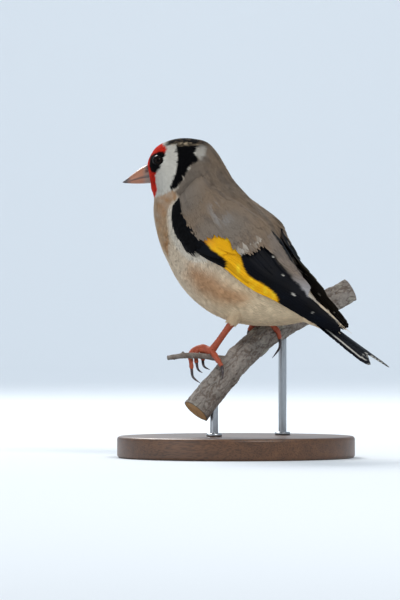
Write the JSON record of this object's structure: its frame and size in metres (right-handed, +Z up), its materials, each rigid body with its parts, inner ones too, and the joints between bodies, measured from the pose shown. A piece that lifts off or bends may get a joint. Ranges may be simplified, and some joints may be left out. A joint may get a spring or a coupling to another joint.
{
  "type": "european goldfinch",
  "caption": "Life-size still model of a European goldfinch gripping a cut length of branch, held on a round display base by short rods.",
  "frame": {"origin": "centre of the flat underside of the stand's base", "axes": "+Z up; the bird's body faces -X and its left side faces -Y"},
  "size_m": [0.1039, 0.0884, 0.1183],
  "materials": {
    "head_plumage": "soft matt feathers: red face, pale cheeks, black crown sides",
    "body_plumage": "soft matt feathers, brown above, tawny sides, off-white belly",
    "wing_feathers": "black flight feathers with a yellow band and white tips",
    "tail_feathers": "blue-black feathers with white patches",
    "bill_horn": "smooth pale pinkish horn, dark at the tip",
    "eye_gloss": "wet, very dark brown",
    "leg_skin": "scaled orange-pink skin with dark grey claws",
    "bark": "rough grey-brown bark with pale lichen",
    "stand_wood": "turned walnut, satin oil finish",
    "stand_steel": "brushed round rod"
  },
  "bodies": {
    "root": {"head": "head_plumage", "neck": "body_plumage", "torso": "body_plumage", "tail": "tail_feathers", "wing_left": "wing_feathers", "wing_right": "wing_feathers", "bill_upper": "bill_horn", "bill_lower": "bill_horn", "eye_left": "eye_gloss", "eye_right": "eye_gloss", "leg_left": "leg_skin", "leg_right": "leg_skin", "foot_left": "leg_skin", "foot_right": "leg_skin", "perch_branch": "bark", "perch_twig": "bark", "stand_base": "stand_wood", "stand_rod_a": "stand_steel", "stand_rod_b": "stand_steel"}
  },
  "joints": []
}
